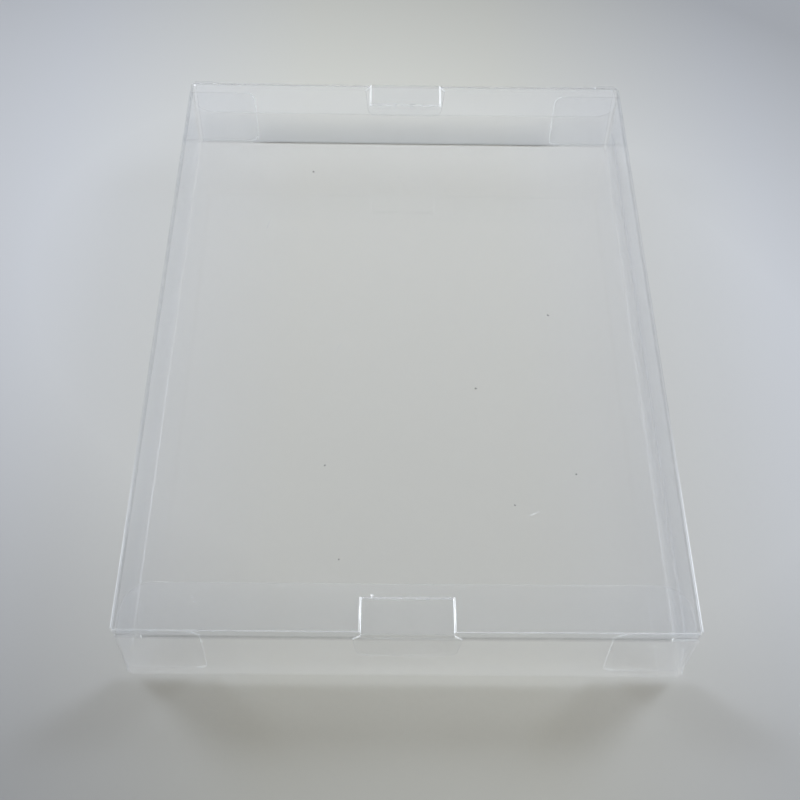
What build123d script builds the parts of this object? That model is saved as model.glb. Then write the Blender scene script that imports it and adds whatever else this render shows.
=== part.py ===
"""Clear folding protector for a boxed game: one die-cut sheet of film, scored, folded and glued.

The sheet wraps round as top, left side, bottom and right side, and a glue flap on the bottom panel
closes the sleeve. A closure on each end of the bottom panel folds up over the dust flaps and tucks in
under the top panel. A lock tab cut from the top panel goes down through a slot in the closure's fold.

Millimetres, +Z up, X across, Y along. The origin is the middle of the face it rests on.
Each end feature is made for the far end (+Y) and mirrored to the near one.
"""

import os

from build123d import *

# Film and folds
film = 0.4
fold_inside_radius = 0.3
kerf = 0.15

# Sleeve, outside sizes
outer_width = 129.0
outer_length = 179.5
outer_height = 23.3
top_panel_setback = 0.45
fold_end_setback = 0.3

# Glue seam, on the right side
glue_flap_width = 10.2
glue_flap_setback = 1.2
glue_flap_taper = 3.0
seam_lift = 0.3

# Dust flaps, on the ends of the side panels
dust_flap_length = 19.0
dust_flap_setback = 1.1
dust_flap_bottom_relief = 1.4
dust_flap_top_relief = 2.7
dust_flap_corner_radius = 2.5
corner_relief = 0.5

# Closures, on the ends of the bottom panel
closure_side_clearance = 1.1
closure_lean = 1.1
flap_gap = 0.15
tuck_flap_depth = 13.5
tuck_flap_side_ease = 0.2
tuck_flap_corner_radius = 7.0
slit_lock_length = 5.8
slit_lock_depth = 0.95
slit_lock_curve_radius = 1.5

# Lock tabs, on the ends of the top panel
tab_width = 20.65
tab_root_distance = 8.2
tab_drop = 12.0
tab_end_width = 22.0
tab_end_radius = 2.6
ear_reach = 1.75
ear_drop = 2.3
ear_tip_radius = 0.6
tab_gap = 0.2
slot_reach = 0.75
slot_outer_clearance = 0.15
slot_inner_clearance = 0.2
score_width = 0.4
score_depth = 0.13

# Sizes that follow from those above; flaps run into the panel that carries them by the length of join
fold_radius = fold_inside_radius + film
join = 2 * (fold_radius + flap_gap)
half_width = outer_width / 2
half_length = outer_length / 2
half_top = half_length - top_panel_setback
half_fold = half_top - fold_end_setback
top_underside = outer_height - film
seam_face = half_width - film

dust_face = half_length - dust_flap_setback
dust_height = outer_height - dust_flap_bottom_relief - dust_flap_top_relief
hinge_line = dust_face - fold_radius
half_glue_flap = dust_face - film - glue_flap_setback

closure_half_width = half_width - closure_side_clearance
closure_top = top_underside - flap_gap
closure_bend = closure_top - fold_radius
closure_reach = half_length + closure_lean
tuck_edge = closure_reach - tuck_flap_depth
tuck_shoulder = closure_reach - slit_lock_depth
tuck_half_width = closure_half_width - tuck_flap_side_ease
slit_lock_end = closure_half_width - slit_lock_length

half_tab = tab_width / 2
half_ear = half_tab + ear_reach
half_slot = half_tab + slot_reach
tab_root = half_top - tab_root_distance
tab_bottom = outer_height - tab_drop


def closure_face(height):
    """How far from the middle the outside of the leaning end panel is, at a height."""
    return half_length + closure_lean * height / closure_top


def tab_face(height):
    """How far from the middle the outside of the lock tab is, hanging just behind the end panel."""
    return closure_face(height) - film - tab_gap


slot_outer = tab_face(closure_top) + slot_outer_clearance
slot_inner = tab_face(closure_top) - film - slot_inner_clearance

# Outline of the tuck flap seen from above, its free corners rounded
with BuildSketch() as tuck_outline:
    with Locations((0, (tuck_edge + tuck_shoulder) / 2)):
        Rectangle(2 * tuck_half_width, tuck_shoulder - tuck_edge)
    fillet(tuck_outline.vertices().group_by(Axis.Y)[0], radius=tuck_flap_corner_radius)

# Closure: bottom fold, end panel, top fold and tuck flap
with BuildPart() as closure:
    with BuildSketch(Plane.YZ):
        with BuildLine():
            FilletPolyline(
                (half_length - fold_radius - join, 0),
                (half_length, 0),
                (closure_reach, closure_top),
                (tuck_edge, closure_top),
                radius=fold_radius,
            )
            offset(amount=film, side=Side.LEFT)
        make_face()
    extrude(amount=closure_half_width, both=True)

    # The tuck flap is trimmed to its outline
    with BuildSketch(Plane.XY.offset(closure_bend)):
        with Locations((0, (tuck_edge + tuck_shoulder - join) / 2)):
            Rectangle(2 * half_width, tuck_shoulder - tuck_edge + join)
        add(tuck_outline.sketch_local, mode=Mode.SUBTRACT)
    extrude(amount=fold_radius + flap_gap, mode=Mode.SUBTRACT)

    # Slit locks: the fold is cut away at both ends, in a curve that runs out into the fold
    with BuildSketch(Plane.XY.offset(closure_bend)) as slit_locks:
        with Locations((slit_lock_end, tuck_shoulder)):
            Rectangle(
                half_width - slit_lock_end,
                slit_lock_depth + join,
                align=(Align.MIN, Align.MIN),
            )
        fillet(
            slit_locks.vertices().group_by(Axis.Y)[0].sort_by(Axis.X)[0],
            radius=slit_lock_curve_radius,
        )
        mirror(about=Plane.YZ)
    extrude(amount=fold_radius + flap_gap, mode=Mode.SUBTRACT)

    # Behind each slit lock the corner of the end panel stands straight up past the fold
    with BuildSketch(Plane.YZ.offset(slit_lock_end + kerf)):
        with BuildLine():
            Line(
                (closure_face(closure_bend - join), closure_bend - join),
                (closure_face(closure_top), closure_top),
            )
            offset(amount=film, side=Side.LEFT)
        make_face()
    corner_piece = extrude(amount=slit_lock_length - kerf)
    mirror(corner_piece, about=Plane.YZ)

    # Slot in the fold, which the lock tab goes down through
    with BuildSketch(Plane.XY.offset(closure_bend)):
        with Locations((0, (slot_inner + slot_outer) / 2)):
            Rectangle(2 * half_slot, slot_outer - slot_inner)
    extrude(amount=fold_radius + flap_gap, mode=Mode.SUBTRACT)

# Lock tab: level out of the top panel, over its free edge and down behind the end panel
with BuildPart() as lock_tab:
    with BuildSketch(Plane.YZ):
        with BuildLine():
            FilletPolyline(
                (half_top - join, outer_height),
                (tab_face(outer_height), outer_height),
                (tab_face(tab_bottom), tab_bottom),
                radius=fold_radius,
            )
            offset(amount=film, side=Side.RIGHT)
        make_face()
    extrude(amount=half_ear, both=True)

    # Front outline: it flares to two ears that catch under the slot, then narrows to a round end
    with BuildSketch(Plane.XZ) as tab_outline:
        with BuildLine():
            Polyline(
                (0, outer_height),
                (half_tab, outer_height),
                (half_tab, top_underside),
                (half_ear, outer_height - ear_drop),
                (tab_end_width / 2, tab_bottom - join),
                (0, tab_bottom - join),
            )
            mirror(about=Plane.YZ)
        make_face()
        fillet(
            tab_outline.vertices().group_by(Axis.X)[0] + tab_outline.vertices().group_by(Axis.X)[-1],
            radius=ear_tip_radius,
        )
    extrude(amount=closure_reach, both=True, mode=Mode.INTERSECT)
    fillet(
        lock_tab.faces().sort_by(Axis.Z)[0].edges().filter_by(Axis.X, reverse=True),
        radius=tab_end_radius,
    )

# Dust flap, on the far end of the right side panel
with BuildPart() as dust_flap:
    with BuildSketch(Plane.XY.offset(dust_flap_bottom_relief)):
        with BuildLine():
            FilletPolyline(
                (half_width, hinge_line - join),
                (half_width, dust_face),
                (half_width - dust_flap_length, dust_face),
                radius=fold_radius,
            )
            offset(amount=film, side=Side.LEFT)
        make_face()
    extrude(amount=dust_height)
    fillet(
        dust_flap.edges().filter_by(Axis.Y).group_by(Axis.X)[0],
        radius=dust_flap_corner_radius,
    )

# Glue flap, bonded all over to the inside of the right side panel, with tapered ends
with BuildPart() as glue_flap:
    with BuildSketch(Plane.XZ):
        with BuildLine():
            FilletPolyline(
                (seam_face - fold_radius - join, 0),
                (seam_face, 0),
                (seam_face, glue_flap_width),
                radius=fold_radius,
            )
            offset(amount=film, side=Side.LEFT)
        make_face()
    extrude(amount=half_glue_flap, both=True)
    with BuildSketch(Plane.YZ):
        with BuildLine():
            Polyline(
                (half_glue_flap, fold_radius),
                (half_glue_flap, glue_flap_width),
                (half_glue_flap - glue_flap_taper, glue_flap_width),
                close=True,
            )
        make_face()
        mirror(about=Plane.YZ)
    extrude(amount=half_width, mode=Mode.SUBTRACT)

# Everything at the far end, to be mirrored to the near one
far_end = [closure.part, lock_tab.part, dust_flap.part, dust_flap.part.mirror(Plane.YZ)]

# The whole sheet
with BuildPart() as protector:
    # Right side, top, left side and bottom in one wrap
    with BuildSketch(Plane.XZ):
        with BuildLine():
            FilletPolyline(
                (half_width, seam_lift),
                (half_width, outer_height),
                (-half_width, outer_height),
                (-half_width, 0),
                (seam_face - fold_radius, 0),
                radius=fold_radius,
            )
            offset(amount=film, side=Side.LEFT)
        make_face()
    extrude(amount=half_fold, both=True)

    # The side panels end at the dust flaps' hinges, with a small relief above and below each
    with Locations((0, 0, dust_flap_bottom_relief + dust_height / 2)):
        with GridLocations(outer_width, hinge_line + half_fold, 2, 2):
            Box(
                2 * fold_radius,
                half_fold - hinge_line,
                dust_height + 2 * corner_relief,
                mode=Mode.SUBTRACT,
            )

    # The top panel runs a little past its long folds, to its free edges
    with BuildSketch(Plane.XY.offset(top_underside)):
        Rectangle(outer_width - 2 * fold_radius, 2 * half_top)
    extrude(amount=film)

    # Two slits at each end free the lock tab as far as its root
    with BuildSketch(Plane.XY.offset(top_underside)):
        with GridLocations(tab_width + kerf, 2 * tab_root + tab_root_distance + kerf, 2, 2):
            Rectangle(kerf, tab_root_distance + kerf)
    extrude(amount=film, mode=Mode.SUBTRACT)

    add(glue_flap.part)
    add(far_end)
    mirror(far_end, about=Plane.XZ)

    # A score across the root of each lock tab
    with BuildSketch(Plane.YZ):
        with BuildLine():
            Polyline(
                (tab_root - score_width / 2, outer_height),
                (tab_root, outer_height - score_depth),
                (tab_root + score_width / 2, outer_height),
                close=True,
            )
        make_face()
        mirror(about=Plane.YZ)
    extrude(amount=half_tab, both=True, mode=Mode.SUBTRACT)

protector.part.label = "protector"

os.makedirs("parts", exist_ok=True)
export_step(protector.part, "parts/protector.step")
print("solids", len(protector.part.solids()), "volume", round(protector.part.volume, 1), "mm3")
print("box", protector.part.bounding_box())
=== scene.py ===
"""Looks of a clear folding protector for a boxed game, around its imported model.

The visible film is made as the real one is: the die-cut blank is drawn flat, filled with a fine mesh,
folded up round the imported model's box, relaxed a little and given its thickness.
In the flat blank u runs round the sleeve, from the right side over the top, and v runs along it.
The blank is drawn in millimetres. Everything else is in metres, +Z up.
"""

import math
import random

import bmesh
import bpy
import numpy as np
from mathutils import Matrix, Vector, noise
from mathutils.geometry import delaunay_2d_cdt


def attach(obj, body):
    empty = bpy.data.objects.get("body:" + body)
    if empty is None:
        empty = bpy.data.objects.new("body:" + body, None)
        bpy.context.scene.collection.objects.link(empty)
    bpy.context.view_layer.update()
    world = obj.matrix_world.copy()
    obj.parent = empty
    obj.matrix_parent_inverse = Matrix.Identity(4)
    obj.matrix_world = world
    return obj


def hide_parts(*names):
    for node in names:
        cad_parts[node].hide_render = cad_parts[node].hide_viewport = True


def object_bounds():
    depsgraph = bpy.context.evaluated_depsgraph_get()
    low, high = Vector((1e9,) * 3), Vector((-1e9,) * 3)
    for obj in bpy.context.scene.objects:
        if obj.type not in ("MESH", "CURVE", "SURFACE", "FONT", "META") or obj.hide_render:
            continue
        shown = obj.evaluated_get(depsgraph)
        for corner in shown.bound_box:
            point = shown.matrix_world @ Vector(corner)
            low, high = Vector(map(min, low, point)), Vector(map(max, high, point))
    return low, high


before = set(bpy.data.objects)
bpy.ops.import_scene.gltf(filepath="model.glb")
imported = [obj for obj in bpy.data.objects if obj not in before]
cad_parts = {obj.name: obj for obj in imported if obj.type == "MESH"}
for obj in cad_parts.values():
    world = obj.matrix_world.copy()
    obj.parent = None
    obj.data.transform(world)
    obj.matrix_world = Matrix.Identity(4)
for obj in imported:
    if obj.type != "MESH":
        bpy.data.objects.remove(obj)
cad_low, cad_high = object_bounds()

MM = 0.001
random.seed(7)

# Camera, as the photograph's perspective gives it
IMAGE_SIDE = 800
FOCAL_PIXELS = 1234.7
SENSOR = 36.0
CAMERA_PLACE = Vector((-5.68, -205.25, 269.15)) * MM
CAMERA_PITCH = math.radians(54.13)
CAMERA_ROLL = math.radians(1.60)
CAMERA_YAW = math.radians(1.305)

# Light: cool from behind on both sides, warm from above in front
REAR_PLACE = Vector((0.85, 0.60, 0.75))
REAR_SIZE = (0.42, 0.32)
REAR_POWER_LEFT = 4.7
REAR_POWER_RIGHT = 5.4
REAR_COLOUR = (0.89, 0.98, 1.12)
FRONT_PLACE = Vector((0.0, -0.42, 1.15))
FRONT_SIZE = (0.30, 0.30)
FRONT_POWER = 5.0
FRONT_COLOUR = (1.0, 0.98, 0.90)
SKY_COLOUR = (1.0, 0.985, 0.96)
SKY_STRENGTH = 0.075
MIRRORED_SKY = 1.0
MIRRORED_FRONT = 0.10
BACKDROP = 0.5

# The room that the film mirrors: how far up and how far back it gets bright, and how dim it starts
ROOM_UP = (0, 0.75)
ROOM_BACK = (-0.1, 0.8)
ROOM_LOW = 0.35

# How many layers of film a ray may pass
FILM_LAYERS = 32

# The film's finish
FILM_IOR = 1.5
LET_THROUGH = 0.96
UNEVEN_SCALE = 40
UNEVEN_RANGE = (0.4, 0.7)
GLOSS_ROUGHNESS = (0.02, 0.10)
WAVE_STRENGTH = 0.25
WAVE_DEPTH = 0.3 * MM
# Colour of the painted glow that brightens the end panels and dust flaps, as a hazy film would look
PAINTED_GLOW_COLOUR = (1.0, 1.0, 0.97)

# Lamp light that the end panels hold back: all but the foot at the near end, most at the foot at the far one
LOW_ANGLE_POWER = 2.0
FOOT_HEIGHTS = (2.2 * MM, 3.2 * MM)
FAR_HEIGHTS = (3.0 * MM, 18.0 * MM)
FAR_SHARES = (1.5, 0.35)
FAR_MIDDLE = (42.0 * MM, 50.0 * MM)
BEHIND_FLAPS = 0.3

# Tints of the film, and of the bends that catch the light
CLEAR = (0.985, 0.99, 1.0)
BRIGHT = (0.93, 0.95, 1.0)

# Grain of bends and cut edges
GRAIN_SCALE = 250
GRAIN_RANGE = (0.35, 0.65)
GRAIN_COVER = (0.8, 1.15)

# Painted glow of folds, cut edges and marks, a painted highlight: where it fades in from the far end to the
# near one, and how it grows from left to right
GLOW_FAR, GLOW_NEAR = -0.028, -0.070
GLOW_LEFT, GLOW_RIGHT = 0.75, 1.25

# Floor: painted light and shade: cooler to both sides, a painted tint of the cool side lamps, darker
# outwards over a long patch that lies aslant, and paler behind, a painted falloff of the lamps' light
FLOOR_SIDE = 6.0
FLOOR_DROP = 0.02 * MM
FLOOR_ROUGHNESS = 0.6
FLOOR_MIDDLE = (0.79, 0.78, 0.72)
FLOOR_SIDES = (0.765, 0.775, 0.81)
COOL_FROM, COOL_TO = 0.03, 0.11
PATCH_PLACE = Vector((0.004, 0.018, 0))
PATCH_TURN = math.radians(-28.7)
PATCH_SIZE = Vector((0.249, 0.179, 1))
PATCH_EVEN = 0.48
DIMMEST = 0.54
BACK_AND_FRONT = 0.2
PALER_BEHIND = 0.175

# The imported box, in millimetres
WIDTH = 2 * cad_high.x / MM
HEIGHT = cad_high.z / MM
REACH = cad_high.y / MM

# Film and folds
FILM = 0.4
BEND = 0.5
CORNER = BEND + FILM / 2
KERF = 0.15
FLAP_GAP = 0.15
TAB_GAP = 0.2
RIM = 0.15
RIM_THICKNESS = 0.55
SLIT_RIM = 1.2 * RIM
CREASE = 0.45
RIGHT_ANGLE = math.pi / 2
QUARTER = BEND * RIGHT_ANGLE

# Sleeve
LEAN = 1.1
HALF_LENGTH = REACH - LEAN
FREE_EDGE = HALF_LENGTH - 0.45
FOLD_END = FREE_EDGE - 0.3
SEAM_LIFT = 0.3
SEAM_GAP = 0.02
GLUE_FLAP_WIDTH = 10.2
GLUE_FLAP_END = HALF_LENGTH - 2.7
GLUE_FLAP_TAPER = 3.0

# Dust flaps
DUST_SETBACK = 1.1
DUST_HINGE = HALF_LENGTH - DUST_SETBACK - CORNER
DUST_LENGTH = 19.0
DUST_LOW = 1.4
DUST_HIGH = HEIGHT - 2.7
DUST_RELIEF = 0.5
DUST_ROUND = 2.5

# Closures
CLOSURE_TOP = HEIGHT - FILM - FLAP_GAP
CLOSURE_HALF = WIDTH / 2 - 1.15
SLANT = math.atan2(CLOSURE_TOP, LEAN)
LOW_TURN = SLANT
HIGH_TURN = math.pi - SLANT
LOW_TANGENT = CORNER * math.tan(LOW_TURN / 2)
HIGH_TANGENT = CORNER * math.tan(HIGH_TURN / 2)
END_RUN = math.hypot(CLOSURE_TOP, LEAN) - LOW_TANGENT - HIGH_TANGENT
TUCK_DEPTH = 13.5
TUCK_HALF = CLOSURE_HALF - 0.2
TUCK_ROUND = 7.0
SHOULDER = 0.95
LOCK_END = CLOSURE_HALF - 5.8
LOCK_ROUND = 0.9
LOCK_INNER_ROUND = LOCK_ROUND - 1.4 * KERF
CLOSURE_START = HALF_LENGTH - LOW_TANGENT
HIGH_BEND = CLOSURE_START + BEND * LOW_TURN + END_RUN
TUCK_START = HIGH_BEND + BEND * HIGH_TURN
TUCK_END = TUCK_START + TUCK_DEPTH - HIGH_TANGENT
TUCK_SHOULDER = TUCK_START + SHOULDER - HIGH_TANGENT

# Lock tabs, and the slots that they go down through
TAB_HALF = 10.325
TAB_ROOT = FREE_EDGE - 8.2
TAB_FACE = REACH + LEAN * (HEIGHT - CLOSURE_TOP) / CLOSURE_TOP - FILM - TAB_GAP
TAB_BEND = TAB_FACE - HIGH_TANGENT
TAB_STRAIGHT = TAB_BEND + BEND * HIGH_TURN
FLARE_START = TAB_STRAIGHT - 0.2
EAR_START = TAB_STRAIGHT - 0.4
TAB_DROP = 12.0
TAB_END = TAB_STRAIGHT + TAB_DROP - HIGH_TANGENT
TAB_END_HALF = 11.15
TAB_END_ROUND = 2.6
EAR_HALF = TAB_HALF + 1.75
EAR_DROP = TAB_STRAIGHT + 1.57
EAR_ROUND = 0.6
SLOT_HALF = TAB_HALF + 0.75
SLOT_NEAR = TUCK_START - 0.30
SLOT_FAR = TUCK_START + 0.46
SCORE = 0.4

# Marks on the top panel, in millimetres from its middle: dark specks of dust, pale smudges and fine
# scratches that glow as painted light, and a painted glint at the far left corner listed with the smudges
SPECKS = [
    (-26.0, 52.6, 0.42), (36.8, 0.4, 0.28), (17.2, -23.4, 0.31), (40.0, -48.4, 0.23),
    (25.1, -57.1, 0.20), (-15.3, -71.6, 0.25), (-19.4, -46.5, 0.23),
]
SMUDGES_AND_GLINT = [(-7.8, -80.6, 0.34), (-46.6, -82.4, 0.26), (-47.4, -81.2, 0.20), (-63.2, 88.4, 0.40)]
SCRATCHES = [
    ((-17.6, -11.6), (-16.4, -9.3)), ((28.0, -60.0), (31.0, -58.6)), ((-38.0, 30.0), (-37.2, 33.4)),
]
SCRATCH_WIDTH = 0.12
SCRATCH_HEIGHT = 0.02
GRAINS_A_MARK = 3
GRAIN_SPREAD = 0.6
GRAIN_LENGTH = (0.5, 0.8)
GRAIN_WIDTH = (0.4, 0.7)
GRAIN_HEIGHT = 0.12
MARK_HEIGHT = 0.35 * FILM

# How far the panels give, in metres
TOP_SAG = 0.45 * MM
EVEN_SAG = 0.35
BOTTOM_LIFT = 0.5 * MM
SIDE_BOW = 0.3 * MM
WAVE = 0.06 * MM
WAVE_LENGTH = 55 * MM

# Where the giving parts fade in and out, as shares of the box's height and half width
UPPER_PART = (0.45, 0.9)
LOWER_PART = (0.1, 0.55)
SIDE_PART = 0.9

# The blank's panels along u: where each starts, after the fold before it
RIGHT_RUN = HEIGHT - CORNER - SEAM_LIFT
TOP_RUN = WIDTH - 2 * CORNER
LEFT_RUN = HEIGHT - 2 * CORNER
BOTTOM_RUN = WIDTH - 2 * CORNER - FILM - SEAM_GAP
GLUE_RUN = GLUE_FLAP_WIDTH - CORNER
TOP_START = RIGHT_RUN + QUARTER
TOP_END = TOP_START + TOP_RUN
LEFT_START = TOP_END + QUARTER
LEFT_END = LEFT_START + LEFT_RUN
BOTTOM_START = LEFT_END + QUARTER
BOTTOM_END = BOTTOM_START + BOTTOM_RUN
GLUE_START = BOTTOM_END + QUARTER
BLANK_END = GLUE_START + GLUE_RUN
TOP_MIDDLE = TOP_START + TOP_RUN / 2
BOTTOM_MIDDLE = BOTTOM_START + WIDTH / 2 - CORNER
LEFT_TOP = LEFT_START + HEIGHT - CORNER

WRAP = [
    (RIGHT_RUN, 0), (QUARTER, RIGHT_ANGLE), (TOP_RUN, 0), (QUARTER, RIGHT_ANGLE),
    (LEFT_RUN, 0), (QUARTER, RIGHT_ANGLE), (BOTTOM_RUN, 0), (QUARTER, RIGHT_ANGLE), (GLUE_RUN, 0),
]
DUST_FOLD = [(QUARTER, RIGHT_ANGLE), (DUST_LENGTH, 0)]
CLOSURE_FOLD = [
    (BEND * LOW_TURN, LOW_TURN), (END_RUN, 0), (BEND * HIGH_TURN, HIGH_TURN), (TUCK_DEPTH, 0),
]
CORNER_PIECE = [(BEND * LOW_TURN, LOW_TURN), (END_RUN + HIGH_TANGENT, 0)]
TAB_FOLD = [(BEND * HIGH_TURN, HIGH_TURN), (TAB_DROP, 0)]
BEND_STEPS = 6
RIDGE_SHARE = 4 / 6
MESH_STEP = 7.0
MESH_SHIFT_U = 0.37
MESH_SHIFT_V = 0.21
SHARPEST_TURN = 0.4
ARC_STEP = math.radians(14)
SHARP_ANGLE = math.radians(50)
TOLERANCE = 0.1
WELD = 1e-4

# The kinds of surface, the rims of the sheet last
PANEL, SIDE_PANEL, END_PANEL, TUCK_FLAP, DUST_FLAP = range(5)
FOLD_SHADE, PAINTED_RIDGE, TUCK_FOLD, LOW_FOLD, FOLD, SCORE_LINE = range(5, 11)
EDGE, FLAP_TIP, FREE_RIM, SLIT = range(11, 15)


def smoothstep(low, high, value):
    """0 below low, 1 above high, and smooth between them."""
    share = min(max((value - low) / (high - low), 0.0), 1.0)
    return share * share * (3 - 2 * share)


def dome(value, half):
    """1 at the middle of a panel and 0 at its folds."""
    return max(0.0, 1 - (value / half) ** 2)


def follow(path, distance):
    """How far ahead and aside a point is, and its heading, a distance along straight runs and bends."""
    ahead = aside = heading = 0.0
    for length, turn in path:
        step = min(distance, length)
        if turn:
            radius, after = length / turn, heading + turn * step / length
            ahead += radius * (math.sin(after) - math.sin(heading))
            aside += radius * (math.cos(heading) - math.cos(after))
            heading = after
        else:
            ahead += step * math.cos(heading)
            aside += step * math.sin(heading)
        distance -= step
        if distance <= 0:
            break
    return ahead, aside, heading


def on_corner_piece(away, v):
    """True for the closure's corners, which stand up behind the slit locks instead of bending over."""
    ahead = max(0.0, v - (TUCK_SHOULDER - LOCK_ROUND))
    aside = max(0.0, LOCK_END + LOCK_ROUND - away)
    return math.hypot(ahead, aside) < LOCK_ROUND - KERF / 2


def flap_of(u, v):
    """The folds that a point of the blank lies past and where they start, or None on the sleeve itself."""
    if u < RIGHT_RUN or LEFT_START < u < LEFT_END:
        height = u + SEAM_LIFT if u < RIGHT_RUN else LEFT_TOP - u
        on_flap = v > DUST_HINGE and DUST_LOW - TOLERANCE < height < DUST_HIGH + TOLERANCE
        return (DUST_FOLD, DUST_HINGE) if on_flap else None
    if TOP_START < u < TOP_END:
        return (TAB_FOLD, TAB_BEND) if v > TAB_BEND else None
    if v <= CLOSURE_START or u < BOTTOM_START:
        return None
    if on_corner_piece(abs(u - BOTTOM_MIDDLE), v):
        return CORNER_PIECE, CLOSURE_START
    return CLOSURE_FOLD, CLOSURE_START


def folded(u, v):
    """Where a point of the flat blank is on the box, in metres."""
    up, left, heading = follow(WRAP, u)
    x, y, z = WIDTH / 2 - FILM / 2 - left, abs(v), SEAM_LIFT + up
    flap = flap_of(u, abs(v))
    if flap:
        path, start = flap
        out, inward, _ = follow(path, abs(v) - start)
        x -= inward * math.cos(heading)
        z -= inward * math.sin(heading)
        y = start + out
    return Vector((x, math.copysign(y, v), z)) * MM


def relaxed(point):
    """Where a point of the flat-sided box goes once its panels have bowed in a little."""
    half_x, half_y, height = cad_high.x, cad_high.y, cad_high.z
    upper = smoothstep(UPPER_PART[0] * height, UPPER_PART[1] * height, point.z)
    lower = 1 - smoothstep(LOWER_PART[0] * height, LOWER_PART[1] * height, point.z)
    across = dome(point.x, half_x)
    along = dome(point.y, half_y)
    ripple = noise.noise(Vector((point.x, point.y, 0.3)) / WAVE_LENGTH)
    down = upper * across * (TOP_SAG * (EVEN_SAG + (1 - EVEN_SAG) * along) + WAVE * (1 + ripple))
    up = lower * across * along * (BOTTOM_LIFT + WAVE * ripple)
    at_side = smoothstep(SIDE_PART * half_x, half_x, abs(point.x))
    side = at_side * along * dome(point.z - height / 2, height / 2)
    inward = -math.copysign(SIDE_BOW * side, point.x)
    return Vector((point.x + inward, point.y, point.z - down + up))


def rounded(corners):
    """The points of a closed outline from its corners, each (u, v, radius), with arcs for the radii."""
    points = []
    for index, (u, v, radius) in enumerate(corners):
        here = Vector((u, v))
        if radius == 0:
            points.append(here)
            continue
        before = (Vector(corners[index - 1][:2]) - here).normalized()
        after = (Vector(corners[(index + 1) % len(corners)][:2]) - here).normalized()
        half = before.angle(after) / 2
        centre = here + (before + after).normalized() * radius / math.sin(half)
        first = here + before * radius / math.tan(half) - centre
        last = here + after * radius / math.tan(half) - centre
        start = math.atan2(first.y, first.x)
        sweep = math.remainder(math.atan2(last.y, last.x) - start, 2 * math.pi)
        steps = max(2, round(abs(sweep) / ARC_STEP))
        for i in range(steps + 1):
            turn = start + sweep * i / steps
            points.append(centre + radius * Vector((math.cos(turn), math.sin(turn))))
    return points


def spaced(points):
    """A line's points with more between them, none further apart than the mesh is coarse."""
    line = []
    for here, ahead in zip(points, points[1:]):
        steps = math.ceil((ahead - here).length / MESH_STEP)
        line += [here.lerp(ahead, i / steps) for i in range(steps)]
    return line + [points[-1]]


def dust_flap(turn_up, turn_down):
    """Corners of a dust flap between the two places on the side panel where it starts and ends."""
    tip = DUST_HINGE + QUARTER + DUST_LENGTH - CORNER
    return [
        (turn_up - DUST_RELIEF, FOLD_END, 0),
        (turn_up - DUST_RELIEF, DUST_HINGE, 0),
        (turn_up, DUST_HINGE, 0),
        (turn_up, tip, DUST_ROUND),
        (turn_down, tip, DUST_ROUND),
        (turn_down, DUST_HINGE, 0),
        (turn_down + DUST_RELIEF, DUST_HINGE, 0),
        (turn_down + DUST_RELIEF, FOLD_END, 0),
    ]


def both_sides(middle, half_outline):
    """Corners given by their distance from the middle, on its low side and then mirrored on the other."""
    left = [(middle - away, v, radius) for away, v, radius in half_outline]
    return left + [(middle + away, v, radius) for away, v, radius in reversed(half_outline)]


def end_outline():
    """Corners of the blank's outline at its far end, from the right side's cut edge to the glue flap's."""
    tab = [
        (TAB_HALF + KERF, FREE_EDGE, 0),
        (TAB_HALF + KERF, TAB_ROOT, 0),
        (TAB_HALF, TAB_ROOT, 0),
        (TAB_HALF, FLARE_START, 0),
        (EAR_HALF, EAR_DROP, EAR_ROUND),
        (TAB_END_HALF, TAB_END, TAB_END_ROUND),
    ]
    closure = [
        (CLOSURE_HALF, FOLD_END, 0),
        (CLOSURE_HALF, HIGH_BEND + HIGH_TANGENT, 0),
        (LOCK_END + KERF, HIGH_BEND + HIGH_TANGENT, LOCK_INNER_ROUND),
        (LOCK_END + KERF, HIGH_BEND, 0),
        (LOCK_END, HIGH_BEND, 0),
        (LOCK_END, TUCK_SHOULDER, LOCK_ROUND),
        (TUCK_HALF, TUCK_SHOULDER, 0),
        (TUCK_HALF, TUCK_END, TUCK_ROUND),
    ]
    return [
        (0, FOLD_END, 0),
        *dust_flap(DUST_LOW - SEAM_LIFT, DUST_HIGH - SEAM_LIFT),
        (TOP_START, FOLD_END, 0),
        (TOP_START, FREE_EDGE, 0),
        *both_sides(TOP_MIDDLE, tab),
        (TOP_END, FREE_EDGE, 0),
        (TOP_END, FOLD_END, 0),
        *dust_flap(LEFT_TOP - DUST_HIGH, LEFT_TOP - DUST_LOW),
        *both_sides(BOTTOM_MIDDLE, closure),
        (BOTTOM_END, FOLD_END, 0),
        (BOTTOM_END, GLUE_FLAP_END, 0),
        (GLUE_START, GLUE_FLAP_END, 0),
        (BLANK_END, GLUE_FLAP_END - GLUE_FLAP_TAPER, 0),
    ]


def slot_outline(side):
    """The slot in a closure's fold."""
    low, high = BOTTOM_MIDDLE - SLOT_HALF, BOTTOM_MIDDLE + SLOT_HALF
    near, far = side * SLOT_NEAR, side * SLOT_FAR
    return [Vector((low, near)), Vector((high, near)), Vector((high, far)), Vector((low, far))]


def area(points):
    """Signed area of an outline: positive where it runs anticlockwise."""
    return sum(a.x * b.y - b.x * a.y for a, b in zip(points, points[1:] + points[:1])) / 2


def inset(points, distance):
    """A closed outline moved to its left by a distance."""
    moved = []
    for index, here in enumerate(points):
        before = (here - points[index - 1]).normalized()
        after = (points[(index + 1) % len(points)] - here).normalized()
        aside = Vector((-before.y - after.y, before.x + after.x))
        moved.append(here + aside * distance / max(aside.length_squared / 2, SHARPEST_TURN))
    return moved


def holds(outline, places):
    """For each place, whether it lies inside an outline."""
    inside = np.zeros(len(places), bool)
    x, y = places[:, 0], places[:, 1]
    for a, b in zip(outline, outline[1:] + outline[:1]):
        if a.y != b.y:
            crossing = a.x + (y - a.y) * (b.x - a.x) / (b.y - a.y)
            inside ^= ((a.y > y) != (b.y > y)) & (x < crossing)
    return inside


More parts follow.
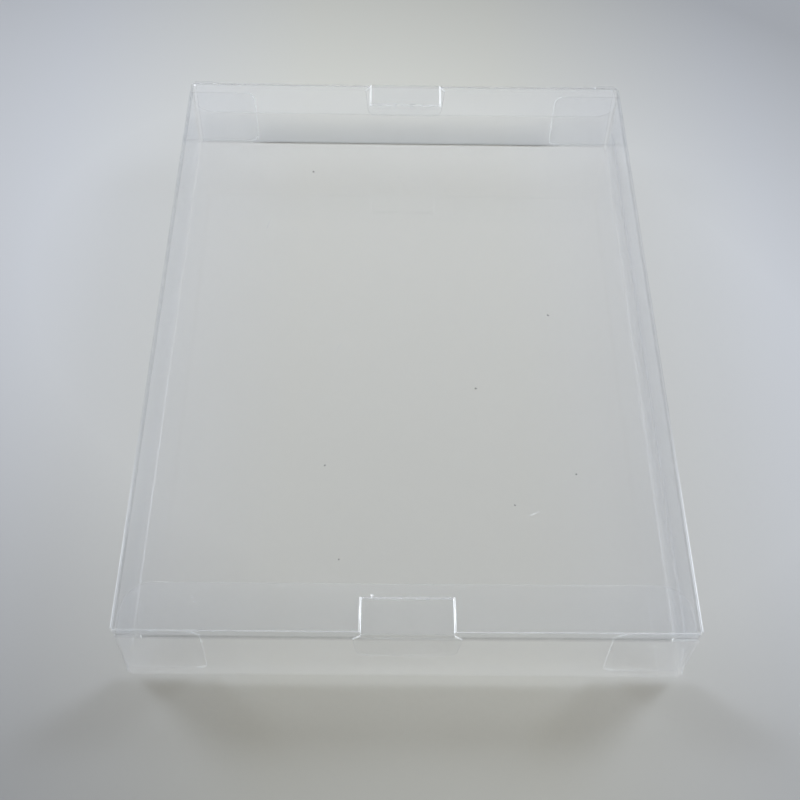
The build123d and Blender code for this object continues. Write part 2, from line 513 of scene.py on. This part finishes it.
def bends():
    """The blank's folds and scores, each (start, end, low, high, along, steps).

    Where along is 0 it goes from start to end in u, and from low to high in v. Where it is 1, u and v are
    swapped. It is bent in this many steps.
    """
    found = [
        (start, start + QUARTER, -FREE_EDGE, FREE_EDGE, 0, BEND_STEPS)
        for start in (RIGHT_RUN, TOP_END, LEFT_END, BOTTOM_END)
    ]
    right_flap = (DUST_LOW - SEAM_LIFT, DUST_HIGH - SEAM_LIFT)
    left_flap = (LEFT_TOP - DUST_HIGH, LEFT_TOP - DUST_LOW)
    foot = (BOTTOM_MIDDLE - CLOSURE_HALF, BOTTOM_MIDDLE + CLOSURE_HALF)
    head = (BOTTOM_MIDDLE - LOCK_END - LOCK_ROUND, BOTTOM_MIDDLE + LOCK_END + LOCK_ROUND)
    tab = (TOP_MIDDLE - TAB_HALF, TOP_MIDDLE + TAB_HALF)
    for side in (-1, 1):
        for start, end, span, steps in (
            (DUST_HINGE, DUST_HINGE + QUARTER, right_flap, BEND_STEPS),
            (DUST_HINGE, DUST_HINGE + QUARTER, left_flap, BEND_STEPS),
            (CLOSURE_START, CLOSURE_START + BEND * LOW_TURN, foot, BEND_STEPS),
            (HIGH_BEND, TUCK_START, head, BEND_STEPS),
            (TAB_BEND, TAB_STRAIGHT, tab, BEND_STEPS),
            (TAB_ROOT - SCORE / 2, TAB_ROOT + SCORE / 2, tab, 1),
        ):
            found.append((side * start, side * end, *span, 1, steps))
    return found


def blank_loops():
    """The blank's outline, anticlockwise, and its two slots, clockwise."""
    far = end_outline()
    near = [(u, -v, radius) for u, v, radius in reversed(far)]
    loops = [rounded(far + near), slot_outline(-1), slot_outline(1)]
    for index, loop in enumerate(loops):
        closed = spaced(loop + loop[:1])[:-1]
        anticlockwise = area(closed) > 0
        loops[index] = closed if anticlockwise == (index == 0) else closed[::-1]
    return loops


def kinds_of(middles, rim):
    """Which kind of surface each triangle is, from its middle and whether it lies on the rim."""
    u, v = middles[:, 0], abs(middles[:, 1])
    kinds = np.full(len(middles), PANEL)
    on_side = (u < RIGHT_RUN) | ((u > LEFT_START) & (u < LEFT_END))
    kinds[on_side] = SIDE_PANEL
    kinds[on_side & (v > DUST_HINGE)] = DUST_FLAP
    kinds[(u > BOTTOM_START) & (v > CLOSURE_START)] = END_PANEL
    kinds[(u > BOTTOM_START) & (v > TUCK_START)] = TUCK_FLAP
    for start, end, low, high, along, steps in bends():
        at, beside = middles[:, along], middles[:, 1 - along]
        bent = (at > min(start, end)) & (at < max(start, end)) & (beside > low) & (beside < high)
        kinds[bent] = SCORE_LINE if steps == 1 else FOLD
        if abs(start) == HIGH_BEND:
            kinds[bent] = TUCK_FOLD
        elif abs(start) == CLOSURE_START:
            kinds[bent] = LOW_FOLD
        elif abs(start) == DUST_HINGE:
            kinds[bent] = FOLD_SHADE
    # Long top folds: the inner part of the bend and the crease beside it get painted shade, the outer part a
    # painted highlight towards the near end and a darker painted line towards the far end
    for past_side in (u - RIGHT_RUN, LEFT_START - u):
        kinds[(past_side > 0) & (past_side < QUARTER + CREASE)] = FOLD_SHADE
        kinds[(past_side > 0) & (past_side < QUARTER * RIDGE_SHARE)] = PAINTED_RIDGE
    on_top = (u > TOP_START) & (u < TOP_END)
    by_slit = abs(abs(u - TOP_MIDDLE) - TAB_HALF - KERF / 2) < KERF / 2 + SLIT_RIM
    on_ear = (v > EAR_START) & (v < EAR_DROP)
    in_lock = (abs(abs(u - BOTTOM_MIDDLE) - LOCK_END) < RIM) & (v > HIGH_BEND) & (v < TUCK_SHOULDER)
    # Rim kinds, each with its own painted highlight: cut edges, dust flap tips, the top panel's free edge,
    # and the slits, ears and lock corners
    kinds[rim] = EDGE
    kinds[rim & on_side & (v > DUST_HINGE + DUST_LENGTH - DUST_ROUND)] = FLAP_TIP
    kinds[rim & on_top & (v < TAB_BEND)] = FREE_RIM
    kinds[rim & on_top & by_slit & (v < FREE_EDGE + RIM)] = SLIT
    kinds[rim & on_top & on_ear] = SLIT
    kinds[rim & (u > BOTTOM_START) & in_lock] = SLIT
    return kinds


def meshed_blank():
    """The flat blank's points, its triangles with their kinds, and which points lie on its outline."""
    loops = blank_loops()
    rims = [inset(loop, RIM) for loop in loops]
    points, edges = [], []
    for loop in loops + rims:
        first = len(points)
        points += loop
        edges += [(first + i, first + (i + 1) % len(loop)) for i in range(len(loop))]
    outline_edges = sum(len(loop) for loop in loops)
    for start, end, low, high, along, steps in bends():
        side = math.copysign(1, end - start)
        places = [start + (end - start) * i / steps for i in range(steps + 1)]
        for place in [start - side * CREASE, *places, end + side * CREASE]:
            ends = [(low, place), (high, place)] if along else [(place, low), (place, high)]
            line = spaced([Vector(p) for p in ends])
            edges += [(len(points) + i, len(points) + i + 1) for i in range(len(line) - 1)]
            points += line
    rows = int(TUCK_END / MESH_STEP)
    for i in range(int(BLANK_END / MESH_STEP) + 1):
        u = i * MESH_STEP + MESH_SHIFT_U
        points += [Vector((u, j * MESH_STEP + MESH_SHIFT_V)) for j in range(-rows, rows + 1)]

    flat, joined, faces, _, sources, _ = delaunay_2d_cdt(points, edges, [], 0, WELD, True)
    flat = np.array([tuple(p) for p in flat])
    middles = np.array([flat[list(face)].mean(0) for face in faces])
    outside = ~holds(loops[0], middles) | holds(loops[1], middles) | holds(loops[2], middles)
    rim = ~holds(rims[0], middles) | holds(rims[1], middles) | holds(rims[2], middles)
    kinds = kinds_of(middles, rim)
    triangles = [(face, int(kind)) for face, kind, out in zip(faces, kinds, outside) if not out]
    cut = set()
    for edge, source in zip(joined, sources):
        if min(source, default=outline_edges) < outline_edges:
            cut.update(edge)
    return flat, triangles, cut


def film_mesh():
    """The sheet without its thickness: the blank folded up and relaxed."""
    flat, triangles, cut = meshed_blank()
    sheet = bmesh.new()
    weights = sheet.verts.layers.deform.verify()
    verts = {}
    for index in sorted({i for face, _ in triangles for i in face}):
        verts[index] = sheet.verts.new(relaxed(folded(*flat[index])))
        verts[index][weights][0] = RIM_THICKNESS if index in cut else 1.0
    for face, kind in triangles:
        made = sheet.faces.new([verts[i] for i in face])
        made.material_index = kind
        made.smooth = True
    mesh = bpy.data.meshes.new("clear_sheet")
    sheet.to_mesh(mesh)
    sheet.free()
    return mesh


def thickened(thin_film):
    """The sheet's mesh with the film's thickness, thinner at its rounded rims."""
    thin_film.vertex_groups.new(name="thickness")
    solid = thin_film.modifiers.new("film", "SOLIDIFY")
    solid.thickness = FILM * MM
    solid.offset = 0
    solid.use_even_offset = True
    solid.vertex_group = "thickness"
    graph = bpy.context.evaluated_depsgraph_get()
    mesh = bpy.data.meshes.new_from_object(thin_film.evaluated_get(graph))
    thin_film.modifiers.clear()
    thin_film.vertex_groups.clear()
    sheet = bmesh.new()
    sheet.from_mesh(mesh)
    for edge in sheet.edges:
        rims = sum(face.material_index >= EDGE for face in edge.link_faces)
        edge.smooth = rims != 1 and edge.calc_face_angle(0) < SHARP_ANGLE
    sheet.to_mesh(mesh)
    sheet.free()
    return mesh


def new_material(name):
    """A material with an empty node tree, and that tree. Its glow is seen, but isn't a lamp."""
    material = bpy.data.materials.new(name)
    material.use_nodes = True
    material.cycles.emission_sampling = "NONE"
    tree = material.node_tree
    tree.nodes.clear()
    return material, tree


def math_node(tree, operation, *values):
    """The result of a number node, fed by sockets or constants."""
    node = tree.nodes.new("ShaderNodeMath")
    node.operation = operation
    for socket, value in zip(node.inputs, values):
        if isinstance(value, (int, float)):
            socket.default_value = value
        else:
            tree.links.new(value, socket)
    return node.outputs[0]


def map_range(tree, value, source, target):
    """A number mapped from one range to another, and held inside it."""
    node = tree.nodes.new("ShaderNodeMapRange")
    node.inputs["From Min"].default_value, node.inputs["From Max"].default_value = source
    node.inputs["To Min"].default_value, node.inputs["To Max"].default_value = target
    tree.links.new(value, node.inputs["Value"])
    return node.outputs["Result"]


def object_noise(tree, scale):
    """Noise that stays with the object."""
    place = tree.nodes.new("ShaderNodeTexCoord")
    texture = tree.nodes.new("ShaderNodeTexNoise")
    texture.inputs["Scale"].default_value = scale
    texture.inputs["Detail"].default_value = 3
    tree.links.new(place.outputs["Object"], texture.inputs["Vector"])
    return texture.outputs["Fac"]


def end_view(tree):
    """Whether a ray meets an end panel from outside, as 1 or 0, and the place where it meets it."""
    geometry = tree.nodes.new("ShaderNodeNewGeometry")
    toward, place = (tree.nodes.new("ShaderNodeSeparateXYZ") for _ in range(2))
    tree.links.new(geometry.outputs["Normal"], toward.inputs[0])
    tree.links.new(geometry.outputs["Position"], place.inputs[0])
    outward = math_node(tree, "MULTIPLY", toward.outputs["Y"], place.outputs["Y"])
    return math_node(tree, "GREATER_THAN", outward, 0.0), place


def held_back(tree, from_outside, place, steady, at_low_angle, far_share):
    """How much lamp light a face of an end panel holds back: more at a low angle, and only from outside.

    Inside, what a panel mirrors onto the floor makes up for what it holds back. The near end holds nothing
    back at its foot, which on the real box is a little above the table. The far end holds back the most at
    its foot, between the dust flaps.
    """
    facing = tree.nodes.new("ShaderNodeLayerWeight")
    facing.inputs["Blend"].default_value = 0.5
    low_angle = math_node(tree, "POWER", facing.outputs["Facing"], LOW_ANGLE_POWER)
    share = math_node(tree, "MULTIPLY_ADD", low_angle, at_low_angle, steady)
    at_near_end = math_node(tree, "LESS_THAN", place.outputs["Y"], 0.0)
    at_far_end = math_node(tree, "GREATER_THAN", place.outputs["Y"], 0.0)
    above_foot = map_range(tree, place.outputs["Z"], FOOT_HEIGHTS, (0, 1))
    near_part = math_node(tree, "MULTIPLY", at_near_end, above_foot)
    at_foot = map_range(tree, place.outputs["Z"], FAR_HEIGHTS, [far_share * part for part in FAR_SHARES])
    away = math_node(tree, "ABSOLUTE", place.outputs["X"])
    between_flaps = map_range(tree, away, FAR_MIDDLE, (1, BEHIND_FLAPS))
    low_middle = math_node(tree, "MULTIPLY", at_foot, between_flaps)
    far_part = math_node(tree, "MULTIPLY", at_far_end, low_middle)
    holding = math_node(tree, "ADD", near_part, far_part)
    outer_part = math_node(tree, "MULTIPLY", from_outside, holding)
    return math_node(tree, "MULTIPLY", outer_part, share)


def film_material(name, tint, steady=0.0, at_low_angle=0.0, far_share=1.0, painted_glow=0.0):
    """Clear film: a gloss on both faces with faint waves. Lamp light falls through it.

    An end panel's film also glows a little from outside, a painted brightening like that of a hazy film, and
    holds some of the lamps' light back.
    """
    material, tree = new_material(name)
    nodes, links = tree.nodes, tree.links
    out = nodes.new("ShaderNodeOutputMaterial")
    film = nodes.new("ShaderNodeBsdfPrincipled")
    film.inputs["Base Color"].default_value = (*tint, 1)
    film.inputs["Roughness"].default_value = 0.0
    film.inputs["IOR"].default_value = 1.0
    film.inputs["Transmission Weight"].default_value = 1.0
    film.inputs["Coat Weight"].default_value = 1.0
    film.inputs["Coat IOR"].default_value = FILM_IOR
    film.inputs["Emission Color"].default_value = (*PAINTED_GLOW_COLOUR, 1)
    unevenness = object_noise(tree, UNEVEN_SCALE)
    links.new(map_range(tree, unevenness, UNEVEN_RANGE, GLOSS_ROUGHNESS), film.inputs["Coat Roughness"])
    waves = nodes.new("ShaderNodeBump")
    waves.inputs["Strength"].default_value = WAVE_STRENGTH
    waves.inputs["Distance"].default_value = WAVE_DEPTH
    links.new(unevenness, waves.inputs["Height"])
    links.new(waves.outputs[0], film.inputs["Coat Normal"])

    through = nodes.new("ShaderNodeBsdfTransparent")
    through.inputs["Color"].default_value = (LET_THROUGH, LET_THROUGH, LET_THROUGH, 1)
    if at_low_angle:
        from_outside, place = end_view(tree)
        kept = held_back(tree, from_outside, place, steady, at_low_angle, far_share)
        links.new(math_node(tree, "SUBTRACT", 1.0, kept), through.inputs["Color"])
        # A painted glow, seen from outside the box only
        links.new(math_node(tree, "MULTIPLY", from_outside, painted_glow), film.inputs["Emission Strength"])
    open_air = nodes.new("ShaderNodeBsdfTransparent")
    path = nodes.new("ShaderNodeLightPath")
    for_lamps = nodes.new("ShaderNodeMixShader")
    for_floor = nodes.new("ShaderNodeMixShader")
    links.new(path.outputs["Is Shadow Ray"], for_lamps.inputs[0])
    links.new(film.outputs[0], for_lamps.inputs[1])
    links.new(through.outputs[0], for_lamps.inputs[2])
    links.new(path.outputs["Is Diffuse Ray"], for_floor.inputs[0])
    links.new(for_lamps.outputs[0], for_floor.inputs[1])
    links.new(open_air.outputs[0], for_floor.inputs[2])
    links.new(for_floor.outputs[0], out.inputs["Surface"])
    return material


def glint_material(name, colour, roughness, mirror, cover, near_glow=0.0, far_glow=0.0):
    """A bend or a cut edge: part of it is clear, and the rest mirrors and scatters the light that it holds.

    It glows as painted light, where it is given a glow: more towards the near end, and a little more towards
    the right.
    """
    material, tree = new_material(name)
    out = tree.nodes.new("ShaderNodeOutputMaterial")
    glint = tree.nodes.new("ShaderNodeBsdfPrincipled")
    glint.inputs["Base Color"].default_value = (*colour, 1)
    glint.inputs["Roughness"].default_value = roughness
    glint.inputs["Metallic"].default_value = mirror
    glint.inputs["Emission Color"].default_value = (*colour, 1)
    if near_glow:
        place = tree.nodes.new("ShaderNodeTexCoord")
        parts = tree.nodes.new("ShaderNodeSeparateXYZ")
        tree.links.new(place.outputs["Object"], parts.inputs[0])
        along = map_range(tree, parts.outputs["Y"], (GLOW_FAR, GLOW_NEAR), (far_glow, near_glow))
        across = map_range(tree, parts.outputs["X"], (-cad_high.x, cad_high.x), (GLOW_LEFT, GLOW_RIGHT))
        tree.links.new(math_node(tree, "MULTIPLY", along, across), glint.inputs["Emission Strength"])
    covers = [min(share * cover, 1) for share in GRAIN_COVER]
    uneven = map_range(tree, object_noise(tree, GRAIN_SCALE), GRAIN_RANGE, covers)
    tree.links.new(uneven, glint.inputs["Alpha"])
    tree.links.new(glint.outputs[0], out.inputs["Surface"])
    return material


def sheet_materials():
    """The sheet's materials by the kind of surface that they are for."""
    return {
        PANEL: film_material("clear_film", CLEAR),
        # Side panels: a darker, cooler copy of the clear film, painted shade
        SIDE_PANEL: film_material("side_film_shaded", (0.925, 0.94, 0.975)),
        # End panels and dust flaps glow a little from outside: painted light
        END_PANEL: film_material("end_film", CLEAR, steady=0.03, at_low_angle=0.97, painted_glow=0.045),
        TUCK_FLAP: film_material("tuck_film", (0.975, 0.985, 1.0)),
        DUST_FLAP: film_material(
            "dust_flap_film", CLEAR, steady=0.22, at_low_angle=0.75, far_share=0.0, painted_glow=0.005
        ),
        FOLD_SHADE: glint_material("fold_shade", (0.28, 0.30, 0.34), 0.4, mirror=0.1, cover=0.07),
        # The long folds' outer part: a glow that is a painted highlight towards the near end, and a dark
        # colour that is painted shade towards the far end
        PAINTED_RIDGE: glint_material(
            "fold_ridge_painted_light", (0.36, 0.38, 0.42), 0.3, mirror=0.2, cover=0.16, near_glow=6.5
        ),
        TUCK_FOLD: glint_material("tuck_fold", (0.90, 0.92, 0.97), 0.2, mirror=0.9, cover=0.15),
        LOW_FOLD: film_material("closure_fold", (0.975, 0.98, 0.99), steady=0.6, at_low_angle=0.4),
        FOLD: glint_material("fold", BRIGHT, 0.3, mirror=0.5, cover=0.04),
        SCORE_LINE: glint_material("score_line", BRIGHT, 0.4, mirror=0.5, cover=0.3),
        # The rims: pale colours and a glow, painted highlights of light caught on the cut edges, brightest
        # on the slits
        EDGE: glint_material(
            "cut_edge", (0.70, 0.72, 0.76), 0.4, mirror=0.1, cover=0.10, near_glow=0.5
        ),
        FLAP_TIP: glint_material(
            "flap_tip", (0.9, 0.93, 0.97), 0.4, mirror=0.1, cover=0.25, near_glow=0.6, far_glow=0.5
        ),
        FREE_RIM: glint_material(
            "free_edge", (0.8, 0.83, 0.88), 0.3, mirror=0.2, cover=0.35, near_glow=0.4
        ),
        SLIT: glint_material(
            "slit_edge", (0.96, 0.98, 1.0), 0.3, mirror=0.2, cover=0.85, near_glow=0.4, far_glow=0.4
        ),
    }


def make_film():
    """The visible sheet."""
    film = bpy.data.objects.new("film_sheet", film_mesh())
    bpy.context.scene.collection.objects.link(film)
    materials = sheet_materials()
    for kind in sorted(materials):
        film.data.materials.append(materials[kind])
    film.data = thickened(film)
    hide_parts("protector")
    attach(film, "root")


def on_top(x, y):
    """A point just under the upper face of the top panel, where a mark shows on it."""
    return relaxed(folded(TOP_MIDDLE - x, y)) + Vector((0, 0, MARK_HEIGHT * MM))


def add_grain(marks, radius, place, kind):
    """A small ball, flattened, turned and moved by its place."""
    made = bmesh.ops.create_icosphere(marks, subdivisions=2, radius=radius, matrix=place)
    for face in {face for vert in made["verts"] for face in vert.link_faces}:
        face.material_index = kind
        face.smooth = True


def make_marks():
    """Specks of dust, and pale marks and fine scratches that glow as painted light, on the top panel; the
    pale mark at its far left corner is a painted glint.
    """
    marks = bmesh.new()
    for kind, places in enumerate((SPECKS, SMUDGES_AND_GLINT)):
        for x, y, size in places:
            for _ in range(GRAINS_A_MARK):
                aside = Vector((random.uniform(-1, 1), random.uniform(-1, 1), 0)) * size * GRAIN_SPREAD * MM
                length, width = random.uniform(*GRAIN_LENGTH), random.uniform(*GRAIN_WIDTH)
                shape = Matrix.Diagonal((length, width, GRAIN_HEIGHT, 1))
                turn = Matrix.Rotation(random.uniform(0, math.pi), 4, "Z")
                place = Matrix.Translation(on_top(x, y) + aside) @ turn @ shape
                add_grain(marks, size * MM, place, kind)
    for start, end in SCRATCHES:
        first, last = on_top(*start), on_top(*end)
        middle, along = (first + last) / 2, last - first
        shape = Matrix.Diagonal((along.length / 2, SCRATCH_WIDTH / 2 * MM, SCRATCH_HEIGHT * MM, 1))
        turn = along.to_track_quat("X", "Z").to_matrix().to_4x4()
        add_grain(marks, 1, Matrix.Translation(middle) @ turn @ shape, 1)
    mesh = bpy.data.meshes.new("marks")
    marks.to_mesh(mesh)
    marks.free()
    dust = glint_material("dust", (0.20, 0.19, 0.18), 0.8, mirror=0.0, cover=0.25)
    # The pale marks and scratches glow, a painted highlight; the one at the far left corner is a painted
    # glint
    smudge_and_glint = glint_material(
        "smudge_and_glint", (0.95, 0.96, 1.0), 0.5, mirror=0.0, cover=0.25, near_glow=0.75, far_glow=1.1
    )
    mesh.materials.append(dust)
    mesh.materials.append(smudge_and_glint)
    film_marks = bpy.data.objects.new("film_marks", mesh)
    bpy.context.scene.collection.objects.link(film_marks)
    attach(film_marks, "root")


def floor_material():
    """A matt surface with painted light and shade: cooler to both sides, dimmer outwards and paler behind.
    """
    material, tree = new_material("floor_painted_light")
    out = tree.nodes.new("ShaderNodeOutputMaterial")
    surface = tree.nodes.new("ShaderNodeBsdfPrincipled")
    surface.inputs["Roughness"].default_value = FLOOR_ROUGHNESS
    place = tree.nodes.new("ShaderNodeTexCoord")
    parts = tree.nodes.new("ShaderNodeSeparateXYZ")
    tree.links.new(place.outputs["Object"], parts.inputs[0])
    aside = math_node(tree, "ABSOLUTE", parts.outputs["X"])
    tint = tree.nodes.new("ShaderNodeMix")
    tint.data_type = "RGBA"
    tint.inputs["A"].default_value = (*FLOOR_MIDDLE, 1)
    tint.inputs["B"].default_value = (*FLOOR_SIDES, 1)
    tree.links.new(map_range(tree, aside, (COOL_FROM, COOL_TO), (0, 1)), tint.inputs["Factor"])

    patch = tree.nodes.new("ShaderNodeMapping")
    patch.vector_type = "TEXTURE"
    patch.inputs["Location"].default_value = PATCH_PLACE
    patch.inputs["Rotation"].default_value = (0, 0, PATCH_TURN)
    patch.inputs["Scale"].default_value = PATCH_SIZE
    tree.links.new(place.outputs["Object"], patch.inputs["Vector"])
    away = tree.nodes.new("ShaderNodeVectorMath")
    away.operation = "LENGTH"
    tree.links.new(patch.outputs[0], away.inputs[0])
    dim = map_range(tree, away.outputs["Value"], (PATCH_EVEN, 1), (1, DIMMEST))
    reach = (-BACK_AND_FRONT, BACK_AND_FRONT)
    paler = map_range(tree, parts.outputs["Y"], reach, (1 - PALER_BEHIND, 1 + PALER_BEHIND))

    colour = tree.nodes.new("ShaderNodeVectorMath")
    colour.operation = "SCALE"
    tree.links.new(tint.outputs["Result"], colour.inputs[0])
    tree.links.new(math_node(tree, "MULTIPLY", dim, paler), colour.inputs["Scale"])
    tree.links.new(colour.outputs[0], surface.inputs["Base Color"])
    tree.links.new(surface.outputs[0], out.inputs["Surface"])
    return material


def make_floor():
    """A pale table top, with light and shade painted into its colour."""
    half = FLOOR_SIDE / 2
    mesh = bpy.data.meshes.new("floor")
    corners = [(-half, -half, 0), (half, -half, 0), (half, half, 0), (-half, half, 0)]
    mesh.from_pydata(corners, [], [(0, 1, 2, 3)])
    mesh.materials.append(floor_material())
    floor = bpy.data.objects.new("floor", mesh)
    floor.location.z = -FLOOR_DROP
    bpy.context.scene.collection.objects.link(floor)


def make_lamp(name, place, size, power, colour):
    """A soft rectangular lamp that faces the box, its long way as near to the box's length as it can be."""
    data = bpy.data.lights.new(name, "AREA")
    data.shape = "RECTANGLE"
    data.size, data.size_y = size
    data.energy = power
    data.color = colour
    lamp = bpy.data.objects.new(name, data)
    away = place.normalized()
    wide_way = away.cross(Vector((0, 1, 0))).normalized()
    turn = Matrix((wide_way.cross(away), wide_way, away)).transposed()
    lamp.matrix_world = Matrix.Translation(place) @ turn.to_4x4()
    bpy.context.scene.collection.objects.link(lamp)
    return lamp


def make_lamps():
    """Two lamps behind the box, and one above it in front that the film doesn't mirror."""
    left_place = Vector((-REAR_PLACE.x, REAR_PLACE.y, REAR_PLACE.z))
    make_lamp("rear_left", left_place, REAR_SIZE, REAR_POWER_LEFT, REAR_COLOUR)
    make_lamp("rear_right", REAR_PLACE, REAR_SIZE, REAR_POWER_RIGHT, REAR_COLOUR)
    front = make_lamp("front", FRONT_PLACE, FRONT_SIZE, FRONT_POWER, FRONT_COLOUR)
    front.visible_glossy = False
    front.visible_transmission = False


def make_sky():
    """An even sky that lights the floor, a pale backdrop, and the room that the film mirrors."""
    world = bpy.data.worlds.new("sky")
    world.use_nodes = True
    tree = world.node_tree
    nodes, links = tree.nodes, tree.links
    lighting = nodes["Background"]
    lighting.inputs["Color"].default_value = (*SKY_COLOUR, 1)
    lighting.inputs["Strength"].default_value = SKY_STRENGTH
    mirrored = nodes.new("ShaderNodeBackground")
    mirrored.inputs["Color"].default_value = (*SKY_COLOUR, 1)
    direction = nodes.new("ShaderNodeTexCoord")
    parts = nodes.new("ShaderNodeSeparateXYZ")
    links.new(direction.outputs["Generated"], parts.inputs[0])
    upwards = map_range(tree, parts.outputs["Z"], ROOM_UP, (ROOM_LOW, 1))
    backwards = map_range(tree, parts.outputs["Y"], ROOM_BACK, (MIRRORED_FRONT, MIRRORED_SKY))
    path = nodes.new("ShaderNodeLightPath")
    backdrop = math_node(tree, "MULTIPLY", path.outputs["Is Camera Ray"], BACKDROP)
    room = math_node(tree, "MULTIPLY", upwards, backwards)
    links.new(math_node(tree, "MAXIMUM", room, backdrop), mirrored.inputs["Strength"])
    seen = math_node(tree, "MAXIMUM", path.outputs["Is Camera Ray"], path.outputs["Is Glossy Ray"])
    seen = math_node(tree, "MAXIMUM", seen, path.outputs["Is Transmission Ray"])
    chosen = nodes.new("ShaderNodeMixShader")
    links.new(seen, chosen.inputs[0])
    links.new(lighting.outputs[0], chosen.inputs[1])
    links.new(mirrored.outputs[0], chosen.inputs[2])
    links.new(chosen.outputs[0], nodes["World Output"].inputs["Surface"])
    bpy.context.scene.world = world


def make_camera():
    """The photograph's own camera: its place, direction, tilt and focal length."""
    data = bpy.data.cameras.new("camera")
    data.sensor_width = SENSOR
    data.lens = FOCAL_PIXELS / IMAGE_SIDE * SENSOR
    data.clip_start = 0.01
    camera = bpy.data.objects.new("camera", data)
    level = math.cos(CAMERA_PITCH)
    forward = Vector(
        (math.sin(CAMERA_YAW) * level, math.cos(CAMERA_YAW) * level, -math.sin(CAMERA_PITCH))
    )
    right = Vector((math.cos(CAMERA_YAW), -math.sin(CAMERA_YAW), 0))
    up = right.cross(forward)
    rolled_right = right * math.cos(CAMERA_ROLL) + up * math.sin(CAMERA_ROLL)
    rolled_up = up * math.cos(CAMERA_ROLL) - right * math.sin(CAMERA_ROLL)
    turn = Matrix((rolled_right, rolled_up, -forward)).transposed()
    camera.matrix_world = Matrix.Translation(CAMERA_PLACE) @ turn.to_4x4()
    bpy.context.scene.collection.objects.link(camera)
    bpy.context.scene.camera = camera


make_film()
make_marks()
make_floor()
make_lamps()
make_sky()
make_camera()

scene = bpy.context.scene
scene.view_settings.view_transform = "Standard"
scene.cycles.max_bounces = FILM_LAYERS
scene.cycles.transmission_bounces = FILM_LAYERS
scene.cycles.transparent_max_bounces = 2 * FILM_LAYERS
